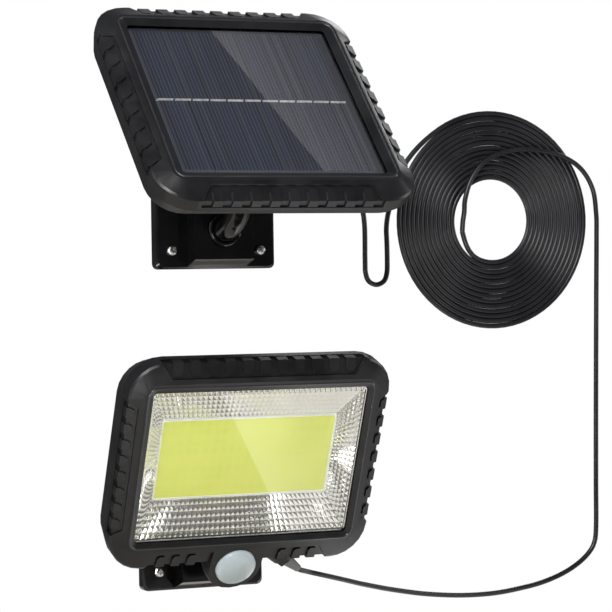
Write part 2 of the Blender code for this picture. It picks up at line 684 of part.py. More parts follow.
def sensor_parts():
    """Motion sensor: round board, metal can and domed lens."""
    centre, inward = sensor_axis()
    board = turned([(9.0, SENSOR_DEPTH - 1.3), (9.0, SENSOR_DEPTH - GAP)], centre, inward, 20)
    place("lamp_sensor_board", board, "circuit_board", LAMP_FRAME, LAMP_PIVOT)
    can = turned([(4.6, 3.4), (4.6, 2.9), (4.1, 2.9), (4.1, -0.6), (3.6, -1.1)], centre, inward, 16)
    place("lamp_motion_sensor", can, "bright_steel", LAMP_FRAME, LAMP_PIVOT)
    outer = [(11.0, 3.2)]
    inner = [(9.9, 4.2)]
    for step in range(7):
        angle = math.radians(82.0 * step / 6)
        outer.append((11.0 * math.cos(angle), -0.6 - 4.8 * math.sin(angle)))
        inner.append((9.9 * math.cos(angle), -0.2 - 4.1 * math.sin(angle)))
    dome = turned(outer, centre, inward, 24)
    cavity = turned(inner, centre, inward, 24)
    place("lamp_sensor_lens", cut(dome, cavity), "milky_plastic", LAMP_FRAME, LAMP_PIVOT)


def lamp_optics():
    """Glass, seal, reflector, light board and its phosphor field, heat spreader."""
    half_w = LAMP_OPEN[0] / 2 + 2.7
    half_h = LAMP_OPEN[1] / 2 + 2.7
    glass = loft([section(half_w, half_h, 1.5, depth, 3) for depth in (0.0, 2.6)])
    place("lamp_glass", glass, "clear_glass", LAMP_FRAME, LAMP_PIVOT)
    field_w = LED_FIELD[0] / 2
    field_h = LED_FIELD[1] / 2
    mirror = loft([
        section(half_w - 3.4, half_h - 3.4, 1.0, 2.9, 3),
        section(field_w + 1.2, field_h + 1.2, 1.0, 11.2, 3),
        section(field_w + 2.4, field_h + 2.4, 1.0, 11.2, 3),
        section(half_w - 1.8, half_h - 1.8, 1.0, 4.2, 3),
        section(half_w, half_h, 1.0, 4.2, 3),
        section(half_w, half_h, 1.0, 2.9, 3),
    ], ring=True)
    place("lamp_reflector", mirror, "bright_aluminium", LAMP_FRAME, LAMP_PIVOT)
    field = loft([section(field_w, field_h, 0.8, depth, 3) for depth in (10.4, 11.3)])
    place("lamp_phosphor", field, "phosphor", LAMP_FRAME, LAMP_PIVOT)
    board = loft([section(field_w + 5.0, field_h + 5.0, 1.5, depth, 3) for depth in (11.6, 13.2)])
    place("lamp_led_board", board, "raw_aluminium", LAMP_FRAME, LAMP_PIVOT)
    plate = loft([section(56.0, 30.0, 3.0, depth, 3) for depth in (13.5, 15.3)])
    place("lamp_heat_spreader", plate, "raw_aluminium", LAMP_FRAME, LAMP_PIVOT)


def lamp_power():
    """Driver board, cell and its cradle in the hump."""
    centre_x, centre_z = HUMP_CENTRE
    board = box((-30.0, 17.0, centre_z - 22.5), (30.0, 18.4, centre_z - 6.5))
    parts = merged(
        box((-24.0, 18.0, centre_z - 20.0), (-12.0, 22.0, centre_z - 10.0)),
        box((4.0, 18.0, centre_z - 19.0), (11.0, 20.9, centre_z - 11.0)),
        box((16.0, 18.0, centre_z - 21.0), (26.0, 22.5, centre_z - 9.0)),
    )
    place("lamp_driver_board", add(board, parts), "circuit_board", LAMP_FRAME, LAMP_PIVOT)
    cell = turned([(8.4, -32.5), (9.2, -31.7), (9.2, 31.7), (8.4, 32.5), (3.2, 32.5), (3.2, 33.9)],
                  (centre_x, 28.0, centre_z + 6.0), (1.0, 0.0, 0.0), 24)
    place("lamp_battery_cell", cell, "battery_wrap", LAMP_FRAME, LAMP_PIVOT)
    cradle = box((-37.5, 16.8, centre_z - 5.6), (37.5, 26.0, centre_z + 17.6))
    trough = turned([(9.5, -35.2), (9.5, 35.2)], (centre_x, 28.0, centre_z + 6.0),
                    (1.0, 0.0, 0.0), 24)
    place("lamp_battery_cradle", cut(cradle, trough), "black_plastic", LAMP_FRAME, LAMP_PIVOT)


def lamp_switch():
    """Tact switch on a small board and the button that presses it."""
    x, z = BUTTON_SPOT
    board = box((x - 7.0, 11.8, z - 7.0), (x + 7.0, 13.2, z + 7.0))
    place("lamp_switch_board", board, "circuit_board", LAMP_FRAME, LAMP_PIVOT)
    switch = add(box((x - 3.0, 13.5, z - 3.0), (x + 3.0, 15.4, z + 3.0)),
                 turned([(1.7, 15.0), (1.7, 16.0)], (x, 0.0, z), steps=16))
    place("lamp_tact_switch", switch, "black_plastic", LAMP_FRAME, LAMP_PIVOT)
    button = turned([(6.4, 17.5), (6.4, 18.2), (4.9, 18.2), (4.9, 22.4), (4.2, 23.0)],
                    (x, 0.0, z), steps=24)
    place("lamp_mode_button", button, "grey_rubber", LAMP_FRAME, Vector((x, 17.5, z)))


def lamp_rear():
    """Rear shell with the battery hump, hinge lugs, angled cord outlet and button well."""
    x, z = BUTTON_SPOT
    shell = rear_tray(LAMP_HEIGHT, LAMP_CORNER, LAMP_SEAM, LAMP_DEPTH, 18.6, 6.0)
    hump_outer = loft([section(46.0 - inset, 26.0 - inset, 6.0, depth, 4, HUMP_CENTRE)
                       for inset, depth in ((0.0, 19.2), (0.0, 36.6), (4.0, 40.8))])
    hump_inner = loft([section(43.6 - inset, 23.6 - inset, 4.0, depth, 4, HUMP_CENTRE)
                       for inset, depth in ((0.0, 16.0), (0.0, 36.0), (2.6, 38.4))])
    lugs, hole = hinge_lugs(LAMP_PIVOT, 19.4, 8.0)
    outlet = turned([(5.6, -5.5), (5.4, OUTLET)], LAMP_GLAND, LAMP_GLAND_AXIS, 20)
    duct = turned([(2.9, -9.0), (2.9, 6.0)], LAMP_GLAND, LAMP_GLAND_AXIS, 16)
    well = turned([(5.3, 16.0), (5.3, 24.0)], (x, 0.0, z), steps=24)
    shell = add(shell, hump_outer, lugs, outlet)
    shell = cut(shell, hump_inner, hole, duct, well, screw_seats(LAMP_SCREWS, LAMP_SEAT, LAMP_DEPTH))
    place("lamp_rear_shell", shell, "black_plastic", LAMP_FRAME, LAMP_PIVOT)


def lamp_unit():
    """Every piece of the lamp head."""
    lamp_front()
    sensor_parts()
    lamp_optics()
    lamp_power()
    lamp_switch()
    lamp_rear()
    housing_screws("lamp", LAMP_FRAME, LAMP_SCREWS, LAMP_SEAT, 14.0)
    hinge_hardware("lamp", LAMP_FRAME, LAMP_PIVOT)
    gland_parts("lamp", LAMP_FRAME, LAMP_GLAND, LAMP_GLAND_AXIS, LAMP_RELIEF, "grey_rubber")


# The cord


def smooth_route(route, spacing):
    """A route with straight ends and even points on a Catmull-Rom curve between them."""
    points = [Vector(point) for point in route]
    dense = []
    for i in range(1, len(points) - 2):
        before, start, end, after = points[i - 1:i + 3]
        for step in range(24):
            t = step / 24
            dense.append(0.5 * (
                2 * start + (end - before) * t
                + (2 * before - 5 * start + 4 * end - after) * t ** 2
                + (3 * start - before - 3 * end + after) * t ** 3))
    dense.append(points[-2])
    length = sum((b - a).length for a, b in zip(dense, dense[1:]))
    count = max(2, round(length / spacing))
    even = [dense[0]]
    walked = 0.0
    for a, b in zip(dense, dense[1:]):
        piece = (b - a).length
        while len(even) < count and walked + piece >= length * len(even) / count:
            share = (length * len(even) / count - walked) / piece
            even.append(a.lerp(b, share))
        walked += piece
    return [points[0], *even, points[-2], points[-1]]


def cord_tube(name, route, spacing=7.0):
    """A free stretch of the cord as a round tube on a poly line."""
    points = smooth_route(route, spacing)
    curve = bpy.data.curves.new(name, "CURVE")
    curve.dimensions = "3D"
    spline = curve.splines.new("POLY")
    spline.points.add(len(points) - 1)
    for knot, point in zip(spline.points, points):
        knot.co = (*(point * MM), 1.0)
    curve.bevel_depth = CORD_DIAMETER / 2 * MM
    curve.bevel_resolution = 2
    curve.use_fill_caps = True
    curve.materials.append(material("cord_jacket"))
    item = bpy.data.objects.new(name, curve)
    bpy.context.scene.collection.objects.link(item)
    return item


def cord():
    """The coil and the free stretches of the cord."""
    panel_lead = lead_start(PANEL_FRAME, PANEL_GLAND, PANEL_GLAND_AXIS, PANEL_RELIEF)
    lamp_lead = lead_start(LAMP_FRAME, LAMP_GLAND, LAMP_GLAND_AXIS, LAMP_RELIEF)
    cord_tube("cord_panel_lead", panel_lead + PANEL_LEAD_TAIL, 3.0)
    cord_tube("cord_panel_arm", PANEL_ARM_ROUTE, 3.0)
    cord_tube("cord_panel_loop", PANEL_LOOP_ROUTE, 6.0)
    cord_tube("cord_lamp_lead", lamp_lead + LAMP_LEAD_TAIL, 3.0)
    cord_tube("cord_run", RUN_ROUTE, 10.0)
    half = CORD_DIAMETER / 2
    centre = (COIL_CENTRE[0], COIL_Y, COIL_CENTRE[1])
    coil = turned([(COIL_INNER, -half), (COIL_OUTER, -half), (COIL_OUTER, half), (COIL_INNER, half)],
                  centre, steps=64, ring=True)
    place("cord_coil", coil, "cord_jacket")


def clear_scene():
    """Remove whatever the scene starts with."""
    for item in list(bpy.data.objects):
        bpy.data.objects.remove(item)


def main():
    clear_scene()
    for prefix, line, x, z in (
            ("panel", PANEL_STEM, 0.0, 0.0), ("lamp", LAMP_STEM, LAMP_X, LAMP_BOSS_Z)):
        bracket(f"{prefix}_bracket", x, z)
        wall_screws(prefix, x, z)
        collar(f"{prefix}_stem_collar", x, z)
        stem(f"{prefix}_stem", line, x, z)
    panel_unit()
    lamp_unit()
    cord()


main()
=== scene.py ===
"""Looks of the solar flood light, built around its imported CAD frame.

Lengths are millimetres in this script and become metres when a mesh is made.
World frame: +X right, +Y into the wall, +Z up, origin on the back of the upper bracket.
Head frame, for the panel and for the lamp: origin at the centre of the front glass, +X right,
+Y inward from the glass, +Z up along the glass.
"""

import json
import math

import bmesh
import bpy
from mathutils import Matrix, Vector


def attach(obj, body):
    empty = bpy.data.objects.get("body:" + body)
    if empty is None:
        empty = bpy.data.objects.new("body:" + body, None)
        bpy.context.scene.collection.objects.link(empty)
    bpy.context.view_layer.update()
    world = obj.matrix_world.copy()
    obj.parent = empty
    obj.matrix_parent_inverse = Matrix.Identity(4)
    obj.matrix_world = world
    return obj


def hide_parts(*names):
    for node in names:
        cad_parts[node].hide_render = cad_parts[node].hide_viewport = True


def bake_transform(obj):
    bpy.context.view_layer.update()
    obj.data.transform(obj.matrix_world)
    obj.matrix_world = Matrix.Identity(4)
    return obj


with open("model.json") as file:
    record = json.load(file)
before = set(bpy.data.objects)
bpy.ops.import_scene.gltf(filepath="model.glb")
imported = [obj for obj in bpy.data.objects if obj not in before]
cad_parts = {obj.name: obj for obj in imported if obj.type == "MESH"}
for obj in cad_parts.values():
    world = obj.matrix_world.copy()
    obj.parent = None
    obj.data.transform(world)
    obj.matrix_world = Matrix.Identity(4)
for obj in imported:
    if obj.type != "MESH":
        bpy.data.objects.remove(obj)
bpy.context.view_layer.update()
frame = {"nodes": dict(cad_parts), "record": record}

MM = 0.001

# The frame's driving sizes that the detailed pieces repeat
PANEL_CENTRE = (0.0, -63.0, 66.1)
PANEL_TILT = 43.3
LAMP_CENTRE = (-10.3, -74.0, -121.8)
LAMP_TILT = -22.3
PANEL_OPEN = (113.4, 110.0)
LAMP_OPEN = (119.0, 83.4)
LED_FIELD = (96.0, 43.0)
GLASS_TUCK = 2.7                # how far a glass reaches under its frame's lip

# Cord
CORD_DIAMETER = 2.8
COIL_CENTRE = (171.3, 4.1)
COIL_Y = -2.6
COIL_TURNS = 14
COIL_FIRST = 61.1               # radius of the outermost turn
COIL_LAST = 23.2                # radius of the innermost turn
COIL_SETTLE = 50.0              # degrees over which each end eases into the coil
COIL_STEP = 5.0                 # degrees between points
RELIEF_TIP = 4.0                # the cord starts this far inside its strain relief

# Where the cord leaves each head, in its head frame: relief tip and direction
PANEL_EXIT = ((33.0, 33.0, -11.7), (0.0, 1.0, 0.0))
LAMP_EXIT = ((43.72, 15.2, -70.84), (0.8, 0.0, -0.6))
LEAD_ROUTE = [
    (33.0, -44.8, 33.0), (33.0, -43.0, 31.25), (33.0, -40.8, 29.3), (32.6, -36.0, 27.0),
    (31.6, -29.0, 25.9), (31.0, -22.6, 25.8), (31.0, -20.0, 25.8),
]
LOOP_ROUTE = [
    (31.0, -20.0, 25.8), (31.0, -17.8, 25.8), (34.6, -12.6, 26.0), (44.0, -8.4, 26.0),
    (58.0, -5.2, 25.0), (70.0, -4.1, 23.8), (80.6, -4.0, 21.0), (87.4, -4.0, 14.6),
    (90.3, -4.0, 4.0), (90.4, -4.0, -17.6), (90.6, -4.0, -24.2), (92.5, -4.0, -28.9),
    (97.2, -4.0, -30.9), (101.9, -4.0, -28.9), (103.8, -4.0, -24.2), (104.1, -4.0, -17.6),
    (104.2, -3.7, -8.0), (104.3, -3.1, 0.0), (105.4, -2.7, 7.0), (107.1, -2.6, 13.0),
]
LAMP_LEAD_ROUTE = [
    (41.0, -30.6, -184.2), (48.2, -30.0, -186.1), (60.6, -28.2, -189.4), (73.7, -26.2, -193.0),
    (86.9, -24.0, -196.2),
]
RUN_ROUTE = [
    (73.7, -26.2, -193.0), (86.9, -24.0, -196.2), (100.2, -21.8, -199.0), (113.6, -19.4, -201.5),
    (127.2, -16.9, -203.4), (140.9, -14.5, -204.8), (154.7, -12.2, -205.5), (168.7, -10.0, -205.4),
    (182.9, -8.0, -204.2), (197.2, -6.4, -202.2), (210.5, -6.0, -198.4), (220.8, -6.0, -193.6),
    (228.6, -6.0, -188.0), (233.4, -6.0, -181.6), (234.9, -6.0, -172.0), (235.3, -6.0, -145.3),
    (236.1, -6.0, -99.3), (237.3, -6.0, -41.7), (238.1, -6.0, -6.0), (238.1, -6.0, 8.0),
    (235.8, -6.0, 22.6), (227.6, -6.0, 34.4), (213.8, -6.0, 41.6), (196.8, -6.0, 44.4),
    (181.1, -6.0, 43.5), (166.6, -6.0, 38.2), (157.0, -6.0, 27.8), (152.8, -5.9, 16.6),
    (152.3, -5.4, 9.2), (152.1, -3.9, 3.8), (152.3, -2.7, -1.5),
]

# Camera
CAMERA_PLACE = (-546.457, -1298.748, -30.298)
CAMERA_TURN = (-24.88, -0.467, -0.909)      # yaw, pitch, roll in degrees
CAMERA_LENS = 153.535
SENSOR = 36.0

# Stage, with the floor in millimetres
WORLD_STRENGTH = 1.0
FLOOR_Z = -262.0
FLOOR_RADIUS = 450.0
# How a glare card fades: (share of its reach, glow)
CARD_FADE = ((0.0, 1.0), (0.5, 0.62), (1.0, 0.36), (4.0, 0.2))

# Details of the surfaces
FINGER_PITCH = 1.95             # spacing of the cells' finger lines
FINGER_SHARE = 0.17             # share of the spacing that a finger line covers
BEAD_OUT = 0.4
BEAD_HALF = 0.5
WELD = 0.002                    # corners closer than this are one corner
FLAT_ANGLE = 0.3                # degrees under which two faces are one face
SMOOTH_ANGLE = 20.0             # degrees over which an edge is an edge


def head_frame(centre, tilt):
    """World matrix of a head frame, in metres."""
    return Matrix.Translation(Vector(centre) * MM) @ Matrix.Rotation(math.radians(-tilt), 4, "X")


PANEL_FRAME = head_frame(PANEL_CENTRE, PANEL_TILT)
LAMP_FRAME = head_frame(LAMP_CENTRE, LAMP_TILT)


# Camera, lights and stage


def make_camera():
    """Camera at the viewing angle of the main picture."""
    yaw, pitch, roll = (math.radians(angle) for angle in CAMERA_TURN)
    turn = Matrix.Rotation(yaw, 3, "Z") @ Matrix.Rotation(pitch, 3, "X")
    forward = turn @ Vector((0.0, 1.0, 0.0))
    right = Matrix.Rotation(yaw, 3, "Z") @ Vector((1.0, 0.0, 0.0))
    up = right.cross(forward)
    side = math.cos(roll) * right + math.sin(roll) * up
    top = math.cos(roll) * up - math.sin(roll) * right
    matrix = Matrix((side, top, -forward)).transposed().to_4x4()
    matrix.translation = Vector(CAMERA_PLACE) * MM
    data = bpy.data.cameras.new("camera")
    data.sensor_width = SENSOR
    data.lens = CAMERA_LENS
    data.clip_start = 0.05
    data.clip_end = 50.0
    camera = bpy.data.objects.new("camera", data)
    camera.matrix_world = matrix
    bpy.context.scene.collection.objects.link(camera)
    bpy.context.scene.camera = camera
    return camera


def area_light(name, place, target, size, power, colour=(1.0, 1.0, 1.0)):
    """Soft rectangular light at place, facing target, in metres and watts."""
    data = bpy.data.lights.new(name, "AREA")
    data.shape = "RECTANGLE"
    data.size, data.size_y = size
    data.energy = power
    data.color = colour
    light = bpy.data.objects.new(name, data)
    light.location = place
    light.rotation_euler = (Vector(target) - Vector(place)).to_track_quat("-Z", "Y").to_euler()
    bpy.context.scene.collection.objects.link(light)
    return light


def make_world():
    """Even studio surround: white behind the object, softer and warmer from below in reflections."""
    world = bpy.data.worlds.new("studio")
    world.use_nodes = True
    tree = world.node_tree
    tree.nodes.clear()
    out = tree.nodes.new("ShaderNodeOutputWorld")
    mix = tree.nodes.new("ShaderNodeMixShader")
    path = tree.nodes.new("ShaderNodeLightPath")
    seen = tree.nodes.new("ShaderNodeBackground")
    seen.inputs["Color"].default_value = (1.0, 1.0, 1.0, 1.0)
    lit = tree.nodes.new("ShaderNodeBackground")
    lit.inputs["Strength"].default_value = WORLD_STRENGTH
    coordinate = tree.nodes.new("ShaderNodeTexCoord")
    split = tree.nodes.new("ShaderNodeSeparateXYZ")
    span = tree.nodes.new("ShaderNodeMapRange")
    span.inputs["From Min"].default_value = -1.0
    ramp = tree.nodes.new("ShaderNodeValToRGB")
    stops = ramp.color_ramp.elements
    stops[0].position, stops[0].color = 0.0, (0.34, 0.30, 0.24, 1.0)
    stops[1].position, stops[1].color = 1.0, (0.20, 0.21, 0.24, 1.0)
    middle = stops.new(0.5)
    middle.color = (0.07, 0.07, 0.075, 1.0)
    links = tree.links
    links.new(coordinate.outputs["Generated"], split.inputs[0])
    links.new(split.outputs["Z"], span.inputs["Value"])
    links.new(span.outputs["Result"], ramp.inputs["Fac"])
    links.new(ramp.outputs["Color"], lit.inputs["Color"])
    links.new(path.outputs["Is Camera Ray"], mix.inputs["Fac"])
    links.new(lit.outputs[0], mix.inputs[1])
    links.new(seen.outputs[0], mix.inputs[2])
    links.new(mix.outputs[0], out.inputs["Surface"])
    bpy.context.scene.world = world


def make_floor():
    """Small pale floor under the hanging object."""
    bm = bmesh.new()
    bmesh.ops.create_circle(bm, cap_ends=True, segments=96, radius=FLOOR_RADIUS * MM)
    mesh = bpy.data.meshes.new("floor")
    bm.to_mesh(mesh)
    bm.free()
    mesh.materials.append(flat_material("floor_paint", (0.80, 0.76, 0.69), 0.6))
    floor = bpy.data.objects.new("floor", mesh)
    floor.location = (0.06, -0.1, FLOOR_Z * MM)
    bpy.context.scene.collection.objects.link(floor)


def glare_card(name, camera, matrix, edge, side, level, strength):
    """Light card whose edge is mirrored by a glass along a line in its head frame.

    edge: two (x, z) points of the line on the glass; side: a point on the bright side;
    level: height of the card.
    """
    normal = matrix.to_3x3() @ Vector((0.0, -1.0, 0.0))
    eye = camera.matrix_world.translation

    def mirrored(x, z):
        point = matrix @ (Vector((x, 0.0, z)) * MM)
        ray = (point - eye).normalized()
        ray -= 2.0 * ray.dot(normal) * normal
        return point + ray * ((level * MM - point.z) / ray.z)

    first, last = (mirrored(*point) for point in edge)
    along = last - first
    out = mirrored(*side) - first
    out -= along * (out.dot(along) / along.length_squared)
    ends = (first - along * 2.0, last + along * 2.0)
    bm = bmesh.new()
    glow = bm.verts.layers.float.new("glow")
    rows = []
    for reach, brightness in CARD_FADE:
        rows.append([bm.verts.new(end + out * reach) for end in ends])
        for vert in rows[-1]:
            vert[glow] = brightness
    for near, far in zip(rows, rows[1:]):
        bm.faces.new((near[0], near[1], far[1], far[0]))
    mesh = bpy.data.meshes.new(name)
    bm.to_mesh(mesh)
    bm.free()
    made = bpy.data.materials.new(name)
    made.use_nodes = True
    shader = made.node_tree.nodes["Principled BSDF"]
    shader.inputs["Base Color"].default_value = (0.0, 0.0, 0.0, 1.0)
    shader.inputs["Emission Color"].default_value = (1.0, 1.0, 1.0, 1.0)
    fade = node(made.node_tree, "ShaderNodeAttribute", {"attribute_name": "glow"})
    power = node(made.node_tree, "ShaderNodeMath", {"operation": "MULTIPLY"}, _0=fade.outputs["Fac"],
                 _1=strength)
    made.node_tree.links.new(power.outputs[0], shader.inputs["Emission Strength"])
    mesh.materials.append(made)
    card = bpy.data.objects.new(name, mesh)
    bpy.context.scene.collection.objects.link(card)
    card.visible_camera = False
    card.visible_diffuse = False
    card.visible_shadow = False
    card.visible_transmission = False


def make_studio():
    """Camera, surround, floor, soft lights and the two cards."""
    camera = make_camera()
    bpy.context.scene.view_settings.view_transform = "Standard"
    make_world()
    make_floor()
    area_light("key", (-1.3, -1.5, 1.2), (0.0, 0.0, 0.0), (1.1, 1.0), 62.0)
    area_light("fill", (1.9, -0.7, 0.2), (0.0, 0.0, -0.05), (0.5, 1.4), 14.0)
    area_light("low", (-0.9, -1.3, -0.9), (0.0, -0.05, -0.1), (1.2, 0.8), 46.0)
    area_light("left", (-1.6, 0.1, 0.2), (0.0, 0.0, 0.0), (0.25, 1.6), 14.0)
    area_light("rim", (1.2, 1.5, 0.95), (0.0, 0.0, 0.0), (1.6, 0.5), 9.0)
    glare_card("panel_card", camera, PANEL_FRAME, ((-10.0, 55.0), (21.5, -55.0)), (56.0, 0.0),
               650.0, 1.1)
    glare_card("lamp_card", camera, LAMP_FRAME, ((-23.9, 41.7), (27.2, -41.7)), (58.0, 0.0),
               -256.0, 3.4)


# Materials


def flat_material(name, colour, roughness, metallic=0.0):
    """A Principled material with plain values, for others to build on."""
    made = bpy.data.materials.new(name)
    made.use_nodes = True
    shader = made.node_tree.nodes["Principled BSDF"]
    shader.inputs["Base Color"].default_value = (*colour, 1.0)
    shader.inputs["Roughness"].default_value = roughness
    shader.inputs["Metallic"].default_value = metallic
    return made


def node(tree, kind, settings=(), **inputs):
    """Add a node, set its properties and its inputs; an input may be a socket to link from."""
    made = tree.nodes.new(kind)
    for key, value in dict(settings).items():
        setattr(made, key, value)
    for key, value in inputs.items():
        socket = made.inputs[int(key[1:])] if key[1:].isdigit() else made.inputs[key.replace("_", " ")]
        if isinstance(value, bpy.types.NodeSocket):
            tree.links.new(value, socket)
        else:
            socket.default_value = value
    return made


def surface(name, colour, roughness, metallic=0.0, tint=0.25, patch=60.0, swing=0.06, grain=3000.0,
            bump=0.03, edge=0.0, **plain):
    """Procedural surface: mottled colour, uneven gloss, fine grain and, with edge, softened edges.

    tint: share by which the colour drifts over patches of 1/patch metres; swing: drift of the
    roughness; grain: bumps to the metre; bump: their height in millimetres; edge: bevel radius.
    """
    made = flat_material(name, colour, roughness, metallic)
    tree = made.node_tree
    shader = tree.nodes["Principled BSDF"]
    for key, value in plain.items():
        shader.inputs[key.replace("_", " ")].default_value = value
    place = node(tree, "ShaderNodeTexCoord").outputs["Object"]
    cloud = node(tree, "ShaderNodeTexNoise", Vector=place, Scale=patch, Detail=4.0)
    low = tuple(c * (1.0 - tint) for c in colour)
    high = tuple(min(1.0, c * (1.0 + tint)) for c in colour)
    ramp = node(tree, "ShaderNodeValToRGB", Fac=cloud.outputs["Fac"])
    ramp.color_ramp.elements[0].position = 0.35
    ramp.color_ramp.elements[0].color = (*low, 1.0)
    ramp.color_ramp.elements[1].position = 0.65
    ramp.color_ramp.elements[1].color = (*high, 1.0)
    tree.links.new(ramp.outputs["Color"], shader.inputs["Base Color"])
    span = node(tree, "ShaderNodeMapRange", Value=cloud.outputs["Fac"])
    span.inputs["From Min"].default_value = 0.3
    span.inputs["From Max"].default_value = 0.7
    span.inputs["To Min"].default_value = max(0.0, roughness - swing)
    span.inputs["To Max"].default_value = roughness + swing
    tree.links.new(span.outputs["Result"], shader.inputs["Roughness"])
    fine = node(tree, "ShaderNodeTexNoise", Vector=place, Scale=grain, Detail=2.0)
    relief = node(tree, "ShaderNodeBump", Height=fine.outputs["Fac"], Strength=1.0)
    relief.inputs["Distance"].default_value = bump * MM
    if edge:
        soft = node(tree, "ShaderNodeBevel", {"samples": 4}, Radius=edge * MM)
        tree.links.new(soft.outputs[0], relief.inputs["Normal"])
    tree.links.new(relief.outputs[0], shader.inputs["Normal"])
    return made


def glass_material(name, roughness, tint):
    """Clear, smooth glass with a faint tint."""
    return surface(name, tint, roughness, tint=0.01, patch=25.0, swing=0.0, grain=20.0,
                   bump=0.0, Transmission_Weight=1.0, IOR=1.48)


def cell_material():
    """Blue-black silicon with fine pale finger lines and streaks along them."""
    made = flat_material("silicon_cells", (0.02, 0.03, 0.06), 0.28)
    tree = made.node_tree
    shader = tree.nodes["Principled BSDF"]
    place = node(tree, "ShaderNodeTexCoord").outputs["Object"]
    axis = node(tree, "ShaderNodeSeparateXYZ", Vector=place)
    x = axis.outputs["X"]
    z = axis.outputs["Z"]

    def scaled(source, factor):
        return node(tree, "ShaderNodeMath", {"operation": "MULTIPLY"}, _0=source, _1=factor).outputs[0]

    half = node(tree, "ShaderNodeMath", {"operation": "GREATER_THAN"}, _0=z, _1=0.0).outputs[0]
    shifted = node(tree, "ShaderNodeMath", {"operation": "MULTIPLY_ADD"}, _0=half, _1=7.3,
                   _2=scaled(x, 300.0)).outputs[0]
    streak = node(tree, "ShaderNodeTexNoise", {"noise_dimensions": "1D"}, W=shifted, Scale=1.0,
                  Detail=3.0, Roughness=0.62)
    ramp = node(tree, "ShaderNodeValToRGB", Fac=streak.outputs["Fac"])
    stops = ramp.color_ramp.elements
    stops[0].position, stops[0].color = 0.38, (0.0015, 0.002, 0.004, 1.0)
    stops[1].position, stops[1].color = 0.68, (0.050, 0.042, 0.052, 1.0)
    for position, colour in ((0.46, (0.002, 0.003, 0.007)), (0.51, (0.010, 0.022, 0.060)),
                             (0.56, (0.006, 0.009, 0.018)), (0.61, (0.030, 0.036, 0.052))):
        stop = stops.new(position)
        stop.color = (*colour, 1.0)
    turn = node(tree, "ShaderNodeMath", {"operation": "FRACT"}, _0=scaled(x, 1000.0 / FINGER_PITCH))
    line = node(tree, "ShaderNodeMath", {"operation": "LESS_THAN"}, _0=turn.outputs[0], _1=FINGER_SHARE)
    paled = node(tree, "ShaderNodeMix", {"data_type": "RGBA"})
    tree.links.new(scaled(line.outputs[0], 0.75), paled.inputs[0])
    tree.links.new(ramp.outputs["Color"], paled.inputs[6])
    paled.inputs[7].default_value = (0.13, 0.14, 0.18, 1.0)
    tree.links.new(paled.outputs[2], shader.inputs["Base Color"])
    span = node(tree, "ShaderNodeMapRange", Value=streak.outputs["Fac"])
    span.inputs["To Min"].default_value = 0.2
    span.inputs["To Max"].default_value = 0.45
    tree.links.new(span.outputs["Result"], shader.inputs["Roughness"])
    return made


def phosphor_material():
    """Yellow phosphor gel with the faint grid of the chips beneath, and a faint painted glow that lifts
    it brighter than the lights alone make it.
    """
    made = flat_material("phosphor_gel", (0.80, 0.86, 0.10), 0.35)
    tree = made.node_tree
    shader = tree.nodes["Principled BSDF"]
    place = node(tree, "ShaderNodeTexCoord").outputs["Object"]
    dots = node(tree, "ShaderNodeTexVoronoi", Vector=place, Scale=210.0, Randomness=0.15)
    cloud = node(tree, "ShaderNodeTexNoise", Vector=place, Scale=35.0, Detail=3.0)
    blend = node(tree, "ShaderNodeMath", {"operation": "MULTIPLY_ADD"}, _0=dots.outputs["Distance"],
                 _1=0.35, _2=cloud.outputs["Fac"])
    ramp = node(tree, "ShaderNodeValToRGB", Fac=blend.outputs[0])
    ramp.color_ramp.elements[0].position = 0.45
    ramp.color_ramp.elements[0].color = (0.74, 0.78, 0.11, 1.0)
    ramp.color_ramp.elements[1].position = 0.85
    ramp.color_ramp.elements[1].color = (0.82, 0.88, 0.15, 1.0)
    tree.links.new(ramp.outputs["Color"], shader.inputs["Base Color"])
    relief = node(tree, "ShaderNodeBump", Height=cloud.outputs["Fac"], Strength=0.5)
    relief.inputs["Distance"].default_value = 0.05 * MM
    tree.links.new(relief.outputs[0], shader.inputs["Normal"])
    # Painted light: the unlit gel glows faintly in its own colour, so that it reads brighter under the
    # glass.
    tree.links.new(ramp.outputs["Color"], shader.inputs["Emission Color"])
    shader.inputs["Emission Strength"].default_value = 0.22
    return made


def lens_material():
    """Milky sensor lens with its moulded facets just showing."""
    made = flat_material("milky_lens", (0.62, 0.68, 0.71), 0.28)
    tree = made.node_tree
    shader = tree.nodes["Principled BSDF"]
    shader.inputs["Transmission Weight"].default_value = 0.08
    place = node(tree, "ShaderNodeTexCoord").outputs["Object"]
    facets = node(tree, "ShaderNodeTexVoronoi", {"feature": "DISTANCE_TO_EDGE"}, Vector=place,
                  Scale=320.0, Randomness=0.25)
    line = node(tree, "ShaderNodeMapRange", Value=facets.outputs["Distance"])
    line.inputs["From Max"].default_value = 0.12
    relief = node(tree, "ShaderNodeBump", Height=line.outputs["Result"], Strength=0.6)
    relief.inputs["Distance"].default_value = 0.12 * MM
    tree.links.new(relief.outputs[0], shader.inputs["Normal"])
    cloud = node(tree, "ShaderNodeTexNoise", Vector=place, Scale=120.0, Detail=3.0)
    ramp = node(tree, "ShaderNodeValToRGB", Fac=cloud.outputs["Fac"])
    ramp.color_ramp.elements[0].color = (0.36, 0.42, 0.44, 1.0)
    ramp.color_ramp.elements[1].color = (0.50, 0.57, 0.60, 1.0)
    tree.links.new(ramp.outputs["Color"], shader.inputs["Base Color"])
    return made


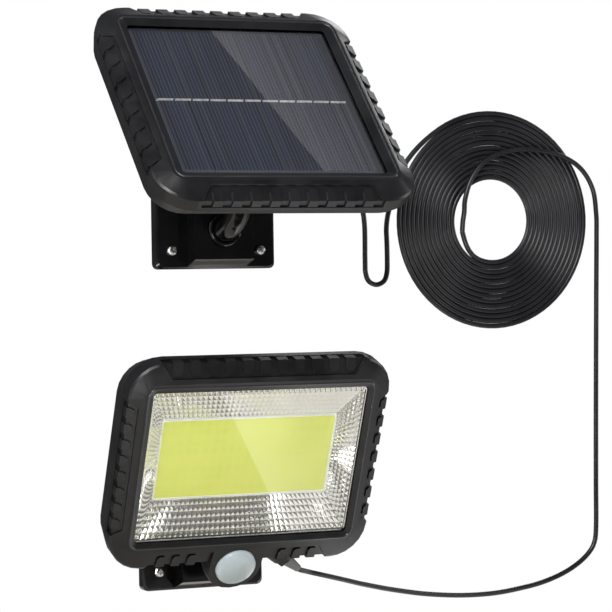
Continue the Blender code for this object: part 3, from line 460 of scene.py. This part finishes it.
def make_materials():
    """Every finish by name."""
    return {
        "black_plastic": surface("black_plastic", (0.0065, 0.0065, 0.0070), 0.34, tint=0.35,
                                 swing=0.06, grain=5200.0, bump=0.006,
                                 Specular_IOR_Level=0.36),
        "bracket_plastic": surface("bracket_plastic", (0.0035, 0.0035, 0.0040), 0.14, tint=0.3,
                                   swing=0.04, grain=2500.0, bump=0.002,
                                   Specular_IOR_Level=0.42),
        "bead": surface("polished_bead", (0.020, 0.020, 0.022), 0.18, tint=0.2, swing=0.04, bump=0.002),
        "rubber": surface("rubber", (0.012, 0.012, 0.012), 0.62, grain=2500.0, bump=0.03, edge=0.3),
        "grey_rubber": surface("grey_rubber", (0.16, 0.16, 0.165), 0.58, grain=2500.0, bump=0.03,
                               edge=0.3),
        "panel_glass": glass_material("panel_glass_clear", 0.0, (0.98, 0.99, 1.0)),
        "lamp_glass": glass_material("lamp_glass_clear", 0.0, (0.99, 1.0, 0.99)),
        "cells": cell_material(),
        "backsheet": surface("backsheet", (0.008, 0.009, 0.012), 0.45, grain=3000.0, bump=0.01),
        "ribbon": surface("tinned_ribbon", (0.72, 0.70, 0.64), 0.42, 0.35, patch=400.0, bump=0.02),
        "chrome": surface("metallised_plastic", (0.80, 0.80, 0.78), 0.10, 1.0, tint=0.04, swing=0.04,
                          grain=900.0, bump=0.006),
        "aluminium": surface("raw_aluminium", (0.60, 0.61, 0.62), 0.34, 1.0, tint=0.1, grain=2600.0,
                             bump=0.01, edge=0.2),
        "steel": surface("bright_steel", (0.72, 0.71, 0.70), 0.22, 1.0, tint=0.12, patch=300.0,
                         grain=3500.0, bump=0.008, edge=0.18),
        "phosphor": phosphor_material(),
        # Painted light: the dam glows faintly so that it reads white where it sits in shade under the
        # glass.
        "dam": surface("white_silicone", (0.88, 0.89, 0.84), 0.5, tint=0.04, bump=0.01,
                       Emission_Color=(0.9, 0.92, 0.85, 1.0), Emission_Strength=0.25),
        "board": surface("solder_mask", (0.012, 0.11, 0.045), 0.36, tint=0.3, patch=900.0, bump=0.02,
                         edge=0.1),
        "milky": lens_material(),
        "wrap": surface("battery_wrap", (0.02, 0.09, 0.34), 0.3, tint=0.12, patch=120.0, bump=0.02,
                        edge=0.2),
        "jacket": surface("cord_jacket", (0.0075, 0.0072, 0.0092), 0.36, tint=0.3, patch=60.0,
                          swing=0.03, grain=500.0, bump=0.001, Specular_IOR_Level=0.40),
    }


# Meshes


def rounded_rect(half_width, half_height, radius, depth, steps=5):
    """A rounded rectangle at one depth, as 3D points."""
    points = []
    for corner, (sign_x, sign_z) in enumerate(((1, 1), (-1, 1), (-1, -1), (1, -1))):
        arc_x = sign_x * (half_width - radius)
        arc_z = sign_z * (half_height - radius)
        for step in range(steps + 1):
            angle = math.radians(90.0 * (corner + step / steps))
            points.append(Vector((arc_x + radius * math.cos(angle), depth,
                                  arc_z + radius * math.sin(angle))))
    return points


def loft(bm, loops, ring=False):
    """Skin equal-length loops into bm as a closed solid, or as a ring when its ends meet."""
    rows = [[bm.verts.new(point) for point in loop] for loop in loops]
    pairs = list(zip(rows, rows[1:]))
    if ring:
        pairs.append((rows[-1], rows[0]))
    count = len(rows[0])
    for first, second in pairs:
        for i in range(count):
            j = (i + 1) % count
            bm.faces.new((first[i], first[j], second[j], second[i]))
    if not ring:
        bm.faces.new(rows[0])
        bm.faces.new(rows[-1])


def piece(name, bm, finish, matrix, smooth=35.0):
    """Turn a millimetre mesh of one frame into an object."""
    bmesh.ops.recalc_face_normals(bm, faces=bm.faces)
    bmesh.ops.scale(bm, vec=(MM, MM, MM), verts=bm.verts)
    mesh = bpy.data.meshes.new(name)
    bm.to_mesh(mesh)
    bm.free()
    if smooth:
        mesh.shade_smooth()
        mesh.set_sharp_from_angle(angle=math.radians(smooth))
    mesh.materials.append(finish)
    made = bpy.data.objects.new(name, mesh)
    made.matrix_world = matrix
    bpy.context.scene.collection.objects.link(made)
    return made


def chamfered_glass(name, opening, thickness, chamfer, drop, finish, matrix, body, nodes):
    """Front glass with a sunk, chamfered border that catches the light."""
    half_w = opening[0] / 2
    half_h = opening[1] / 2
    bm = bmesh.new()
    loft(bm, [
        rounded_rect(half_w - 0.4 - chamfer, half_h - 0.4 - chamfer, 1.2, 0.0),
        rounded_rect(half_w - 0.4, half_h - 0.4, 1.6, drop),
        rounded_rect(half_w + GLASS_TUCK, half_h + GLASS_TUCK, 1.5, drop),
        rounded_rect(half_w + GLASS_TUCK, half_h + GLASS_TUCK, 1.5, thickness),
    ])
    made = piece(name, bm, finish, matrix, 20.0)
    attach(made, body)
    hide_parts(*nodes)
    return made


def bezel_bead(name, opening, bezel, front, matrix, body, finishes):
    """Fine moulded bead on the crest of a front frame's raised ring."""
    ring_w = opening[0] / 2 + bezel + BEAD_OUT
    ring_h = opening[1] / 2 + bezel + BEAD_OUT
    profile = [(BEAD_HALF * math.cos(math.radians(angle)), BEAD_HALF * math.sin(math.radians(angle)))
               for angle in range(0, 360, 45)]
    bm = bmesh.new()
    loft(bm, [rounded_rect(ring_w + across, ring_h + across, 5.0, front - rise, 6)
              for across, rise in profile], ring=True)
    bead = piece(name, bm, finishes["bead"], matrix, 60.0)
    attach(bead, body)


# Solar cells

CELL_LEFT = -55.0
CELL_RIGHT = 52.4
CELL_HALF_HEIGHT = 52.6
CELL_TOP = 2.15
CELL_BOTTOM = 2.5
RIBBON_COUNT = 11
RIBBON_HALF = 0.75


def slab(bm, low, high, lean=0.0):
    """A box between two corners, with its ends leaning by lean."""
    (x0, y0, z0), (x1, y1, z1) = low, high
    base = [(x0 - lean, z0), (x1 - lean, z0), (x1 + lean, z1), (x0 + lean, z1)]
    loft(bm, [[Vector((x, y, z)) for x, z in base] for y in (y0, y1)])


def solar_laminate(finishes):
    """Black backsheet, two rows of cells and the dashed ribbon between them."""
    half_w = PANEL_OPEN[0] / 2 + GLASS_TUCK - 0.4
    half_h = PANEL_OPEN[1] / 2 + GLASS_TUCK - 0.4
    bm = bmesh.new()
    loft(bm, [rounded_rect(half_w, half_h, 1.2, CELL_BOTTOM), rounded_rect(half_w, half_h, 1.2, 4.0)])
    sheet = piece("solar_backsheet", bm, finishes["backsheet"], PANEL_FRAME)
    bm = bmesh.new()
    for z0, z1 in ((-CELL_HALF_HEIGHT, -0.25), (0.25, CELL_HALF_HEIGHT)):
        slab(bm, (CELL_LEFT, CELL_TOP, z0), (CELL_RIGHT, CELL_BOTTOM - 0.02, z1))
    cells = piece("solar_cells", bm, finishes["cells"], PANEL_FRAME, 0.0)
    pitch = (CELL_RIGHT - CELL_LEFT) / RIBBON_COUNT
    bm = bmesh.new()
    for index in range(RIBBON_COUNT):
        left = CELL_LEFT + pitch * index + 0.5
        slab(bm, (left, CELL_TOP - 0.12, -RIBBON_HALF),
             (left + pitch - 1.0, CELL_TOP - 0.02, RIBBON_HALF), 0.35)
    ribbon = piece("solar_ribbon", bm, finishes["ribbon"], PANEL_FRAME, 0.0)
    for made in (sheet, cells, ribbon):
        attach(made, "panel_head")
    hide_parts("panel_solar_cells")


# Lamp optics

REFLECTOR_TOP = 2.95
REFLECTOR_FLOOR = 11.1
FACET_COLUMNS = 40
FACET_SIDE_COLUMNS = 26
FACET_ROWS = 6
FACET_HEIGHT = 1.0


def reflector_wall(bm, outer, inner, columns, rows, inward):
    """One wall of the reflector as a grid of little pyramids."""
    grid = []
    for row in range(rows + 1):
        share = row / rows
        start = outer[0].lerp(inner[0], share)
        end = outer[1].lerp(inner[1], share)
        grid.append([bm.verts.new(start.lerp(end, column / columns)) for column in range(columns + 1)])
    for row in range(rows):
        for column in range(columns):
            ring = [grid[row][column], grid[row][column + 1], grid[row + 1][column + 1],
                    grid[row + 1][column]]
            peak = sum((corner.co for corner in ring), Vector()) / 4 + inward * FACET_HEIGHT
            top = bm.verts.new(peak)
            for first, second in zip(ring, ring[1:] + ring[:1]):
                bm.faces.new((first, second, top))


def reflector(finishes):
    """Metallised reflector with faceted walls."""
    outer_w = LAMP_OPEN[0] / 2 - 0.7
    outer_h = LAMP_OPEN[1] / 2 - 0.7
    inner_w = LED_FIELD[0] / 2 + 1.3
    inner_h = LED_FIELD[1] / 2 + 1.3
    signs = [(-1, 1), (1, 1), (1, -1), (-1, -1)]
    outer = [Vector((x * outer_w, REFLECTOR_TOP, z * outer_h)) for x, z in signs]
    inner = [Vector((x * inner_w, REFLECTOR_FLOOR, z * inner_h)) for x, z in signs]
    bm = bmesh.new()
    for side in range(4):
        after = (side + 1) % 4
        along = (outer[after] - outer[side]).normalized()
        down = (inner[side] + inner[after] - outer[side] - outer[after]).normalized()
        inward = along.cross(down)
        if inward.y > 0:
            inward.negate()
        columns = FACET_COLUMNS if side % 2 == 0 else FACET_SIDE_COLUMNS
        reflector_wall(bm, (outer[side], outer[after]), (inner[side], inner[after]), columns,
                       FACET_ROWS, inward)
    bmesh.ops.remove_doubles(bm, verts=bm.verts, dist=0.01)
    rim = [edge for edge in bm.edges if edge.is_boundary
           and all(abs(v.co.y - REFLECTOR_TOP) < 0.01 for v in edge.verts)]
    reach = {}
    for edge in rim:
        for v in edge.verts:
            if v not in reach:
                scale_x = (outer_w + 3.0) / outer_w
                scale_z = (outer_h + 3.0) / outer_h
                reach[v] = bm.verts.new((v.co.x * scale_x, v.co.y, v.co.z * scale_z))
    for edge in rim:
        a, b = edge.verts
        bm.faces.new((a, b, reach[b], reach[a]))
    made = piece("faceted_reflector", bm, finishes["chrome"], LAMP_FRAME, 0.0)
    thick = made.modifiers.new("thickness", "SOLIDIFY")
    thick.thickness = 0.4 * MM
    thick.offset = -1.0
    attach(made, "lamp_head")
    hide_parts("lamp_reflector")


def light_field(finishes):
    """White silicone dam round the phosphor, whose finish carries a faint painted glow."""
    field_w = LED_FIELD[0] / 2
    field_h = LED_FIELD[1] / 2
    bm = bmesh.new()
    loft(bm, [
        rounded_rect(field_w + 0.05, field_h + 0.05, 0.8, 10.15),
        rounded_rect(field_w + 0.9, field_h + 0.9, 1.2, 10.15),
        rounded_rect(field_w + 1.15, field_h + 1.15, 1.4, 10.6),
        rounded_rect(field_w + 1.15, field_h + 1.15, 1.4, 11.5),
        rounded_rect(field_w + 0.05, field_h + 0.05, 0.8, 11.5),
    ], ring=True)
    dam = piece("phosphor_dam", bm, finishes["dam"], LAMP_FRAME)
    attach(dam, "lamp_head")


# The cord


def smooth_route(route, spacing):
    """Even points on a Catmull-Rom curve through a route, with straight ends."""
    points = [Vector(point) for point in route]
    dense = [points[0]]
    for i in range(1, len(points) - 2):
        before, start, end, after = points[i - 1:i + 3]
        for step in range(24):
            t = step / 24
            dense.append(0.5 * (
                2 * start + (end - before) * t
                + (2 * before - 5 * start + 4 * end - after) * t ** 2
                + (3 * start - before - 3 * end + after) * t ** 3))
    dense += [points[-2], points[-1]]
    length = sum((b - a).length for a, b in zip(dense, dense[1:]))
    count = max(4, round(length / spacing))
    even = [dense[0]]
    walked = 0.0
    for a, b in zip(dense, dense[1:]):
        step = (b - a).length
        while step > 0 and len(even) < count and walked + step >= length * len(even) / count:
            even.append(a.lerp(b, (length * len(even) / count - walked) / step))
        walked += step
    return even + [points[-1]]


def path_length(points):
    """Length of a line of points."""
    return sum((b - a).length for a, b in zip(points, points[1:]))


def tube(name, points, finish, sides=14):
    """Round tube along points, its rings turned as little as possible."""
    bm = bmesh.new()
    radius = CORD_DIAMETER / 2
    rows = []
    side = None
    for i, point in enumerate(points):
        heading = (points[min(i + 1, len(points) - 1)] - points[max(i - 1, 0)]).normalized()
        if side is None:
            side = heading.orthogonal().normalized()
        side = (side - heading * side.dot(heading)).normalized()
        other = heading.cross(side)
        rows.append([
            bm.verts.new(point + (side * math.cos(math.tau * k / sides)
                                  + other * math.sin(math.tau * k / sides)) * radius)
            for k in range(sides)
        ])
    for first, second in zip(rows, rows[1:]):
        for k in range(sides):
            after = (k + 1) % sides
            bm.faces.new((first[k], first[after], second[after], second[k]))
    bm.faces.new(rows[0])
    bm.faces.new(rows[-1])
    return piece(name, bm, finish, Matrix.Identity(4), 60.0)


def declare_cord(points, nodes):
    """Hide the CAD nodes that a cord piece stands in for, and give back the piece's real length."""
    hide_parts(*nodes)
    return path_length(points)


def coil_path():
    """The coil's line: clockwise and inward, from the drop's end to the free stretch's end."""
    entry = Vector((LOOP_ROUTE[-1][0] - COIL_CENTRE[0], LOOP_ROUTE[-1][2] - COIL_CENTRE[1]))
    inner = Vector((RUN_ROUTE[-1][0] - COIL_CENTRE[0], RUN_ROUTE[-1][2] - COIL_CENTRE[1]))
    start = math.atan2(entry.y, entry.x)
    sweep = COIL_TURNS * math.tau - (math.atan2(inner.y, inner.x) % math.tau - start % math.tau)
    settle = math.radians(COIL_SETTLE)
    steps = round(math.degrees(sweep) / COIL_STEP)
    points = []
    for step in range(steps + 1):
        turned = sweep * step / steps
        share = (turned - settle) / (sweep - 2 * settle)
        radius = COIL_FIRST + (COIL_LAST - COIL_FIRST) * min(1.0, max(0.0, share))
        lead_in = max(0.0, 1.0 - turned / settle)
        lead_out = max(0.0, 1.0 - (sweep - turned) / settle)
        radius += (entry.length - COIL_FIRST) * lead_in ** 2 * (3 - 2 * lead_in)
        radius += (inner.length - COIL_LAST) * lead_out ** 2 * (3 - 2 * lead_out)
        radius += 0.03 * math.sin(turned * 0.37)
        angle = start - turned
        rise = 0.05 * math.sin(turned * 0.23) * (1.0 - lead_in) * (1.0 - lead_out)
        points.append(Vector((COIL_CENTRE[0] + radius * math.cos(angle), COIL_Y + rise,
                              COIL_CENTRE[1] + radius * math.sin(angle))))
    return points


def exit_points(matrix, place, direction):
    """Three points on a strain relief's axis, from inside it to just past its tip."""
    return [tuple(matrix @ ((Vector(place) + Vector(direction) * past) * MM) / MM)
            for past in (-RELIEF_TIP, -1.0, 1.5)]


def make_cord(finishes):
    """The whole cord, in pieces that meet where it crosses a joint. Returns its length."""
    jacket = finishes["jacket"]
    total = 0.0

    route = exit_points(PANEL_FRAME, *PANEL_EXIT) + LEAD_ROUTE
    points = smooth_route(route, 1.2)
    lead = tube("cord_from_panel", points, jacket)
    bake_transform(lead)
    total += declare_cord(points, ["cord_panel_lead", "cord_panel_arm"])

    points = smooth_route(LOOP_ROUTE, 1.5)
    loop = tube("cord_loop", points, jacket)
    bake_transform(loop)
    total += declare_cord(points, ["cord_panel_loop"])

    points = coil_path()
    coil = tube("cord_coil_turns", points, jacket, 16)
    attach(coil, "fixture")
    total += declare_cord(points, ["cord_coil"])

    points = smooth_route(RUN_ROUTE, 2.0)
    run = tube("cord_run_line", points, jacket)
    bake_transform(run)
    total += declare_cord(points, ["cord_run"])

    route = exit_points(LAMP_FRAME, *LAMP_EXIT) + LAMP_LEAD_ROUTE[:-1]
    points = smooth_route(route, 1.2)
    lead = tube("cord_from_lamp", points, jacket)
    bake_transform(lead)
    total += declare_cord(points, ["cord_lamp_lead"])
    return total


# CAD nodes that keep their shape

NODE_FINISH = {
    "bright_steel": "steel", "bright_aluminium": "chrome", "raw_aluminium": "aluminium",
    "circuit_board": "board", "milky_plastic": "milky", "battery_wrap": "wrap",
    "cord_jacket": "jacket", "solar_cell": "cells", "clear_glass": "lamp_glass",
    "phosphor": "phosphor", "black_plastic": "black_plastic", "bracket_plastic": "bracket_plastic",
    "rubber": "rubber", "grey_rubber": "grey_rubber",
}


# Edge radius in millimetres by a part of the node's name, first match wins
EDGE_RADIUS = [
    ("screw", 0.12), ("hinge_bolt", 0.25), ("hinge_nut", 0.25), ("gland_nut", 0.3),
    ("strain_relief", 0.15), ("collar", 0.25), ("bracket", 0.5), ("stem", 0.4),
    ("front_frame", 0.16), ("rear_shell", 0.25), ("mode_button", 0.3), ("sensor_lens", 0.0),
]


def paint_nodes(finishes):
    """Give every CAD node its detailed finish by its record slot, and soften what shows."""
    bodies = frame["record"]["behaviour"]["bodies"]
    for entry in frame["record"]["subparts"]:
        name = entry["node"]
        finish = finishes[NODE_FINISH[entry["material_slot"]]]
        mesh = frame["nodes"][name].data
        mesh.materials.clear()
        mesh.materials.append(finish)
        radius = next((radius for part, radius in EDGE_RADIUS if part in name), None)
        if radius is None:
            continue
        body = next(body for body, nodes in bodies.items() if name in nodes)
        soften(name, finish, radius, body)


def soften(name, finish, radius, body):
    """Stand a smooth-shaded copy with rounded edges in a CAD node's place."""
    bm = bmesh.new()
    bm.from_mesh(frame["nodes"][name].data)
    bmesh.ops.remove_doubles(bm, verts=bm.verts, dist=WELD * MM)
    bmesh.ops.dissolve_limit(bm, angle_limit=math.radians(FLAT_ANGLE), verts=bm.verts, edges=bm.edges)
    mesh = bpy.data.meshes.new(name + "_body")
    bm.to_mesh(mesh)
    bm.free()
    mesh.shade_smooth()
    mesh.set_sharp_from_angle(angle=math.radians(SMOOTH_ANGLE))
    mesh.materials.clear()
    mesh.materials.append(finish)
    made = bpy.data.objects.new(name + "_body", mesh)
    bpy.context.scene.collection.objects.link(made)
    if radius:
        rounding = made.modifiers.new("rounding", "BEVEL")
        rounding.width = radius * MM
        rounding.segments = 2
        rounding.limit_method = "ANGLE"
        rounding.angle_limit = math.radians(SMOOTH_ANGLE)
        rounding.harden_normals = True
    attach(made, body)
    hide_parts(name)


def main():
    """Build the whole scene."""
    make_studio()
    finishes = make_materials()
    length = make_cord(finishes)
    print(f"cord length {length:.0f} mm")
    paint_nodes(finishes)
    solar_laminate(finishes)
    chamfered_glass("panel_glass_pane", PANEL_OPEN, 1.8, 1.7, 0.9, finishes["panel_glass"],
                    PANEL_FRAME, "panel_head", ["panel_glass"])
    chamfered_glass("lamp_glass_pane", LAMP_OPEN, 2.6, 0.8, 0.5, finishes["lamp_glass"],
                    LAMP_FRAME, "lamp_head", ["lamp_glass"])
    reflector(finishes)
    light_field(finishes)
    bezel_bead("panel_bead", PANEL_OPEN, 4.2, -2.0, PANEL_FRAME, "panel_head", finishes)
    bezel_bead("lamp_bead", LAMP_OPEN, 2.6, -1.6, LAMP_FRAME, "lamp_head", finishes)


main()
